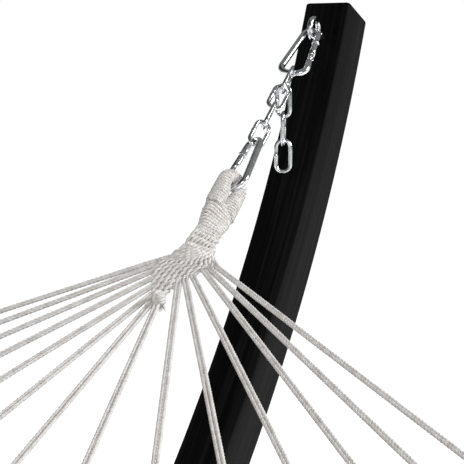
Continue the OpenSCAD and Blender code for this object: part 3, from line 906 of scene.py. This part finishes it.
def gate_parts(place):
    """The spring gate: a round bar with a forked end round the pin."""
    first, fork, end = NOSE_S + 0.6 * MM, GATE_PIN_S - PIN_EYE - 0.9 * MM, GATE_PIN_S + 3.7 * MM
    radius = SNAP_R - 0.2 * MM
    line = [gate_point(first + d * MM) for d in (0, 0.15, 0.5, 1.1, 6, 12)] + [gate_point(fork)]
    sizes = [0.82, 0.92, 0.98, 1, 1, 1, 1]
    parts = [swept(line, round_section(lambda i, t: radius * sizes[i], 28), up=UP)]
    stops = [fork - 1 * MM + (end - fork + 1 * MM) * j / 12 for j in range(13)]
    low = PLATE_HALF + 0.15 * MM
    limit = acos(low / radius)
    angles = [-limit + 2 * limit * k / 14 for k in range(15)]
    for side in (1, -1):
        def section(i, t):
            over = max(0.0, (stops[i] - GATE_PIN_S) / (end - GATE_PIN_S))
            high = sqrt(max(0.02, 1 - over ** 2)) * radius * side
            ring = [(side * radius * cos(angle), high * sin(angle)) for angle in angles]
            return ring + [(side * low, high * sin(limit) * (1 - 2 * k / 4)) for k in (1, 2, 3)]
        parts.append(swept([gate_point(s) for s in stops], section, up=UP))
    return [moved(part, place) for part in parts]


def rivet_parts(place):
    """The gate's pin with a small domed head at each end."""
    head = [(0.3, 4.3), (1.1, 4.18), (1.75, 3.85), (1.3, 3.7)]
    profile = [(r, -z) for r, z in head] + head[::-1]
    at = Matrix.Translation(gate_point(GATE_PIN_S))
    return [lathed(profile, place @ at, 20)]


def link_parts(place):
    """A welded chain link: a closed wire with a slight swelling at the weld."""
    line = arc(LINK_HALF, 0, LINK_BEND, -pi / 2, pi, 20)
    line += [Vector((x * MM, LINK_BEND, 0)) for x in (6, 2.4, 1.6, 0.8, 0, -0.8, -1.6, -2.4, -6)]
    line += arc(-LINK_HALF, 0, LINK_BEND, pi / 2, pi, 20)
    line += [Vector((x * MM, -LINK_BEND, 0)) for x in (-6, 0, 6)]

    def section(i, t):
        p = line[i]
        r = LINK_R
        if p.y > LINK_BEND * 0.99:
            r *= 1 + 0.13 * exp(-(p.x / (1.3 * MM)) ** 2)
        return oval(r, r, 18)

    return [moved(swept(line, section, closed=True, up=UP), place)]


def line_frame(s, turn):
    return local_frame(on_line(s), DOWN_LINE, ACROSS, turn)


def eye_parts():
    """The eye bolt: ring, neck, collar against the arm and shank through it."""
    up = Vector((cos(EYE_PHI), 0, sin(EYE_PHI)))
    out = Vector((-sin(EYE_PHI), 0, cos(EYE_PHI)))
    foot = RING - out * EYE_OUT
    place = local_frame(foot, up, ACROSS)
    ring = [foot + out * EYE_OUT + EYE_R * (a * up + b * out) for a, b in oval(1, 1, 56)]
    z = (EYE_OUT - EYE_R) / MM
    neck = [(5.0, 0.0), (5.3, 0.4), (5.2, 1.2), (4.8, 2.6), (4.4, z - 2.0), (4.0, z - 0.5)]
    return [swept(ring, round_section(EYE_WIRE / 2, 24), closed=True, up=ACROSS),
            lathed(neck, place, 40), lathed([(4.0, -74.0), (4.0, 0.5)], place, 24)]


def make_hardware():
    upper = line_frame(SNAP1_S, SNAP_TURN)
    lower = line_frame(SNAP2_S, LOWER_TURN)
    both_ends("eye_bolt_{}", eye_parts(), ZINC, ["eye_{}"], body="stand")
    both_ends("hook_upper_{}", snap_parts(upper), ZINC, ["upper_snap_{}"])
    both_ends("hook_lower_{}", snap_parts(lower), ZINC, ["lower_snap_{}"])
    both_ends("gate_upper_{}", gate_parts(upper), ZINC, ["upper_gate_{}"], body="upper_gate_{}")
    both_ends("gate_lower_{}", gate_parts(lower), ZINC, ["lower_gate_{}"], body="lower_gate_{}")
    both_ends("hook_pins_{}", rivet_parts(upper) + rivet_parts(lower), ZINC_DULL, ["snap_pins"])
    for i in range(1, 5):
        place = line_frame(LINK1_S + (i - 1) * LINK_STEP, LINK_TURNS[i - 1])
        both_ends("link_{}" + str(i), link_parts(place), ZINC, ["chain_{}" + str(i)])
    tail_top = on_line(LINK1_S + SPARE_AT[0], SPARE_AT[1], -SPARE_AT[2])
    for i in range(1, 4):
        middle = tail_top - (LINK_HALF + LINK_BEND + (i - 1) * LINK_STEP) * UP
        place = local_frame(middle, -UP, ACROSS, SPARE_TURNS[i - 1])
        tail = "tail_{}" + str(i)
        both_ends("spare_link_{}" + str(i), link_parts(place), ZINC, [tail], body=tail)


make_hardware()


# ---- arms

ARM_FOOT = radians(0.02)
ARM_STEPS = 150
ARM_EDGE_R = 4 * MM
CORNER_STEPS = 5


def rounded_square(half, r):
    """Outline of a square with round corners, as (a, b) pairs."""
    out = []
    for sa, sb, start in ((1, 1, 0), (-1, 1, 90), (-1, -1, 180), (1, -1, 270)):
        for k in range(CORNER_STEPS + 1):
            angle = radians(start + 90 * k / CORNER_STEPS)
            out.append((sa * (half - r) + r * cos(angle), sb * (half - r) + r * sin(angle)))
    return out


def make_arms():
    """The two arms: one curved beam each, with rounded edges and slightly bevelled ends."""
    bevel = [(0.0, 2.6), (0.6, 1.2), (1.6, 0.35), (3.0, 0.0)]
    length = (ARM_ANGLE - ARM_FOOT) * ARC_R
    stops = [s * MM for s, _ in bevel] + [length * j / ARM_STEPS for j in range(1, ARM_STEPS)]
    stops += [length - s * MM for s, _ in reversed(bevel)]
    cut = [c * MM for _, c in bevel] + [0.0] * (ARM_STEPS - 1) + [c * MM for _, c in reversed(bevel)]
    path = [on_arc(ARM_FOOT + t / ARC_R, ARC_R + BEAM / 2) for t in stops]

    beam = swept(path, lambda i, t: rounded_square(BEAM / 2 - cut[i], ARM_EDGE_R), up=ACROSS)
    both_ends("beam_arm_{}", [beam], WOOD_ARC, ["arm_{}"], body="stand")


make_arms()


# ---- bed

CLOTH_T = 1.2 * MM
CLOTH = {"quality": 7, "mass": 0.25, "tension_stiffness": 60, "compression_stiffness": 30,
         "shear_stiffness": 12, "bending_stiffness": 2.0, "vertex_group_mass": "held"}
EDGE_R = 5 * MM
HOLE_STEP = HOLE_SPAN / (PAIRS - 1)
HEM_HOLLOW = 2.2 * MM
EYELET_HOLE = [(7.6, -12), (7.6, 12)]
STITCH, STITCH_STEP, THREAD_R = 4.6 * MM, 6.4 * MM, 0.45 * MM
BED_COLUMNS, BED_ROWS, HEM_COLUMNS = 100, 170, 168
DRAPE_FRAMES, DRAPE_LIMIT = 22, 20 * MM
HEM_FLAP = [(1.5, 3.6), (4.6, 2.9), (9.0, 1.9), (12.6, 1.6), (13.6, 1.1), (13.6, -0.4), (2.0, -0.4)]


def drape(thing, held):
    """Lets a sheet hang under its own weight from its held points, and keeps the result in its mesh."""
    group = thing.vertex_groups.new(name=CLOTH["vertex_group_mass"])
    group.add(held, 1.0, "REPLACE")
    start = [v.co.copy() for v in thing.data.vertices]
    cloth = thing.modifiers.new("cloth", "CLOTH")
    for key, value in CLOTH.items():
        setattr(cloth.settings, key, value)
    cloth.point_cache.frame_start = 1
    cloth.point_cache.frame_end = DRAPE_FRAMES
    scene = bpy.context.scene
    for number in range(1, DRAPE_FRAMES + 1):
        scene.frame_set(number)
    settled = thing.evaluated_get(bpy.context.evaluated_depsgraph_get()).data
    moves = [v.co - was for v, was in zip(settled.vertices, start)]
    thing.modifiers.remove(cloth)
    most = max(move.length for move in moves)
    share = min(1.0, DRAPE_LIMIT / max(most, 1e-9))
    for vertex, was, move in zip(thing.data.vertices, start, moves):
        vertex.co = was + move * share
    thing.vertex_groups.remove(group)
    scene.frame_set(1)


def make_bed():
    """The canvas, hung between the end hems. Returns it, its two long edges, and the lines next to them."""
    columns, rows = BED_COLUMNS, BED_ROWS
    end = BED_SLOPE - 10 * MM / BED_R
    half = BED_W / 2 - EDGE_R
    verts, faces = [], []
    for i in range(rows + 1):
        angle = -end + 2 * end * i / rows
        near = (end - abs(angle)) * BED_R
        for j in range(columns + 1):
            y = -half + 2 * half * j / columns
            fold = cos(tau * (y - hole_y(0)) / HOLE_STEP)
            lift = 3.2 * MM * fold * eased((near - 34 * MM) / (60 * MM)) * exp(-near / (210 * MM))
            verts.append(bed_point(angle, y, lift))
    wide = columns + 1
    for i in range(rows):
        for j in range(columns):
            a = i * wide + j
            faces.append((a, a + wide, a + wide + 1, a + 1))
    bed = new_object("canvas_bed", verts, faces, CANVAS)
    stiff = {i * wide + j for i in list(range(4)) + list(range(rows - 3, rows + 1)) for j in range(wide)}
    drape(bed, sorted(stiff))
    co = [v.co.copy() for v in bed.data.vertices]
    lines = [[co[i * wide + j] for i in range(rows + 1)] for j in (0, columns, 1, columns - 1)]
    recalculated(bed, CLOTH_T)
    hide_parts("bed")
    return bed, lines[:2], lines[2:]


def stitch(at, way, up):
    """One stitch: a short thread that dips into the cloth at both ends."""
    line = [at + way * STITCH * (q / 4 - 0.5) + up * THREAD_R * 1.5 * sin(pi * q / 4) for q in range(5)]
    return swept(line, round_section(lambda i, t: THREAD_R * (0.5, 0.95, 1.0, 0.95, 0.5)[i], 6), up=up)


def seam(line, ups):
    """A row of stitches along a line, with the upper direction at each of its points."""
    total = length_of(line)
    even = resample(line, total / 400)
    parts = []
    t = STITCH_STEP / 2
    while t < total - STITCH_STEP / 2:
        place = t / total * (len(even) - 1)
        i = min(int(place), len(even) - 2)
        at = even[i].lerp(even[i + 1], place - i)
        up = ups[min(int(place / (len(even) - 1) * len(ups)), len(ups) - 1)]
        parts.append(stitch(at, (even[i + 1] - even[i]).normalized(), up))
        t += STITCH_STEP
    return parts


def make_side_hems(edges, rims):
    """Rolled hems along the bed's long edges, their flaps on the canvas, and the seams through them."""
    parts, threads = [], []
    for edge, rim in zip(edges, rims):
        line = edge[4:-4]
        inwards = [(b - a).normalized() for a, b in zip(line, rim[4:-4])]
        ups = []
        for i, way in enumerate(inwards):
            along = (line[min(i + 1, len(line) - 1)] - line[max(i - 1, 0)]).normalized()
            up = along.cross(way).normalized()
            ups.append(up if up.z > 0 else -up)

        def section(i, t):
            swell = 1 + 0.05 * sin(t / (31 * MM)) + 0.03 * sin(t / (11 * MM) + 1)
            return [(0.98 * a * (1 if a < 0 else 0.95) * swell, 0.82 * b * swell)
                    for a, b in oval(EDGE_R, EDGE_R, 18)]

        parts.append(swept(line, section, up=inwards[0]))
        verts = [p + way * reach * MM + up * lift * MM
                 for p, way, up in zip(line, inwards, ups) for reach, lift in HEM_FLAP]
        parts.append((verts, tube_faces(len(line), len(HEM_FLAP))))
        thread = [p + way * 11.4 * MM + up * 1.75 * MM for p, way, up in zip(line, inwards, ups)]
        threads += seam(thread, ups)
    hems = new_object("rolled_side_hems", *joined(parts), CANVAS)
    recalculated(hems)
    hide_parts("side_hems")
    rows = new_object("side_seams", *joined(threads), COTTON)
    return [hems, rows]


def recalculated(thing, thickness=0.0):
    """Turns a piece's faces outwards, and gives a sheet its thickness."""
    mesh = bmesh.new()
    mesh.from_mesh(thing.data)
    bmesh.ops.recalc_face_normals(mesh, faces=mesh.faces[:])
    if thickness:
        bmesh.ops.solidify(mesh, geom=mesh.faces[:], thickness=thickness)
    mesh.to_mesh(thing.data)
    mesh.free()
    smoothed(thing.data)


def hollow_at(y):
    """How far the hem is drawn in at y, from 0 at an eyelet to 1 half way to the next."""
    return 0.5 - 0.5 * cos(tau * (y - hole_y(0)) / HOLE_STEP)


def end_hem_mesh():
    """The folded hem at the +X end: thick at its outer edge, thin at its inner, hollowed between eyelets."""
    top = [(0.0, 0.0), (0.5, 2.2), (1.9, 3.7), (5.0, 4.3), (29.0, 4.3), (32.5, 4.0), (36.0, 2.9), (40.6, 2.1),
           (42.0, 1.5), (42.0, 0.0)]
    profile = top + [(u, -n) for u, n in reversed(top[1:-1])]
    verts = []
    for j in range(HEM_COLUMNS + 1):
        y = -BED_W / 2 + BED_W * j / HEM_COLUMNS
        outside = eased((abs(y) - HOLE_SPAN / 2) / (20 * MM))
        squeeze = 0.72 if j in (0, HEM_COLUMNS) else 1
        for u, n in profile:
            inset = HEM_HOLLOW * hollow_at(y) * (1 - outside) * (1 - eased(u / 14))
            slack = 0.35 * MM * sin(y / (17 * MM) + u * 0.1) * eased(abs(u - 17) / 18)
            verts.append(on_bed(u * MM + inset, y, n * MM * squeeze + slack))
    return verts, tube_faces(HEM_COLUMNS + 1, len(profile))


def hem_place(i):
    """The frame of eyelet i: X along the bed, Y across, Z up from the bed."""
    angle = BED_SLOPE - EYELET_IN / BED_R
    along = Vector((cos(angle), 0, sin(angle)))
    return local_frame(bed_point(angle, hole_y(i)), along, ACROSS)


def make_end_hems():
    """The folded end hems with their eyelet holes, and three rows of stitches on each."""
    hem = new_object("end_hem_canvas_a", *end_hem_mesh(), CANVAS)
    recalculated(hem)
    plugs = [lathed(EYELET_HOLE, hem_place(i), 24) for i in range(PAIRS)]
    cutter = new_object("cutter", *joined(plugs), CANVAS, body=None)
    cut = hem.modifiers.new("holes", "BOOLEAN")
    cut.object = cutter
    cut.operation = "DIFFERENCE"
    cut.solver = "EXACT"
    bpy.context.view_layer.update()
    result = bpy.data.meshes.new_from_object(hem.evaluated_get(bpy.context.evaluated_depsgraph_get()))
    hem.modifiers.remove(cut)
    hem.data = result
    bpy.data.objects.remove(cutter)
    hems = twinned(hem, "end_hem_canvas_{}", ["end_hem_{}"], "hammock")
    threads = []
    for u, n in ((3.6, 4.15), (30.5, 4.3), (37.5, 2.75)):
        line = []
        for j in range(201):
            y = -BED_W / 2 + 6 * MM + (BED_W - 12 * MM) * j / 200
            line.append(on_bed(u * MM + (HEM_HOLLOW * hollow_at(y) if u < 4 else 0), y, n * MM))
        up = (on_bed(u * MM, 0, 1) - on_bed(u * MM, 0, 0)).normalized()
        threads += seam(line, [up])
    return hems + both_ends("end_seams_{}", threads, COTTON)


def make_eyelets():
    """Rolled eyelets in bright plating, one ring with two flanges each."""
    half = [(6.0, 0.0), (6.0, 4.3), (6.3, 5.05), (7.1, 5.5), (8.5, 5.58), (9.7, 5.25), (10.4, 4.75),
            (10.4, 4.42), (7.4, 4.38)]
    loop = half + [(r, -z) for r, z in reversed(half[1:])]
    parts = [lathed(loop[::-1], hem_place(i), 36, closed=True) for i in range(PAIRS)]
    return both_ends("eyelet_rings_{}", parts, ZINC, ["eyelets_{}"])


def make_fabric():
    """The bed with its hems and eyelets."""
    bed, edges, rims = make_bed()
    pieces = make_side_hems(edges, rims) + make_end_hems() + make_eyelets()


make_fabric()


# ---- floor, light and surroundings

# Name, place, width, height and, for a light, power in watts
LIGHTS = [("key", (2.4, -3.2, 2.6), 1.6, 1.6, 112),
          ("front", (-1.6, -2.2, 1.9), 1.0, 1.0, 34),
          ("side", (-1.2, 3.4, 2.2), 0.7, 2.4, 30)]
CARDS = [("card_left", (0.0, 2.4, 1.7), 1.6, 2.4),
         ("card_low", (0.4, -1.0, 0.1), 1.6, 0.8),
         ("card_top", (0.6, 1.0, 2.4), 2.8, 1.8)]
FLOOR_R = 60
FLOOR_GLOW = 0.82


def plain(name, colour, roughness, glow=0.0):
    """A stage material with a faint unevenness."""
    m = Nodes(name)
    uneven = m.noise(m.place, 0.7, 2.0)
    tone = m.ramp(uneven, [(0.3, tuple(c * 0.98 for c in colour)), (0.7, colour)])
    m.set(Base_Color=tone, Roughness=roughness, Emission_Color=WHITE, Emission_Strength=glow)
    return m.material


def make_floor():
    rim = [Vector((a, b, 0)) for a, b in oval(FLOOR_R, FLOOR_R, 96)]
    look = plain("floor", (0.93, 0.93, 0.93), 0.9, FLOOR_GLOW)
    floor = new_object("floor", rim, [tuple(range(96))], look, body=None)
    floor.visible_diffuse = False


def make_card(name, place, target, width, height):
    """A dark card outside the picture that the metal and the stained wood mirror."""
    toward = (target - place).normalized()
    side = toward.cross(UP).normalized()
    up = side.cross(toward)
    corners = [place + side * width / 2 * a + up * height / 2 * b
               for a, b in ((-1, -1), (1, -1), (1, 1), (-1, 1))]
    card = new_object(name, corners, [(0, 1, 2, 3)], plain(name, (0.02, 0.02, 0.02), 1.0), body=None)
    card.visible_camera = card.visible_shadow = card.visible_diffuse = False


def make_light(name, place, target, width, height, power):
    data = bpy.data.lights.new(name, "AREA")
    data.shape = "RECTANGLE"
    data.size, data.size_y = width, height
    data.energy = power
    light = linked(name, data)
    light.location = place
    light.rotation_mode = "QUATERNION"
    light.rotation_quaternion = (target - place).to_track_quat("-Z", "Y")


def make_world(bright, ambient):
    """White where the camera looks past the object, and a paler grey as light."""
    world = bpy.data.worlds.new("world")
    world.use_nodes = True
    nodes, links = world.node_tree.nodes, world.node_tree.links
    nodes.clear()
    mix = nodes.new("ShaderNodeMixShader")
    links.new(nodes.new("ShaderNodeLightPath").outputs["Is Camera Ray"], mix.inputs[0])
    for socket, level in zip(mix.inputs[1:], (ambient, bright)):
        background = nodes.new("ShaderNodeBackground")
        background.inputs["Color"].default_value = (level, level, level, 1)
        links.new(background.outputs[0], socket)
    links.new(mix.outputs[0], nodes.new("ShaderNodeOutputWorld").inputs["Surface"])
    bpy.context.scene.world = world


def make_stage():
    middle = Vector((1.2, 0, 0.9))
    make_floor()
    make_world(1.0, 0.24)
    for name, place, *rest in LIGHTS:
        make_light(name, Vector(place), middle, *rest)
    for name, place, *rest in CARDS:
        make_card(name, Vector(place), middle, *rest)
    bpy.context.scene.view_settings.view_transform = "Standard"


make_stage()

bpy.context.view_layer.update()
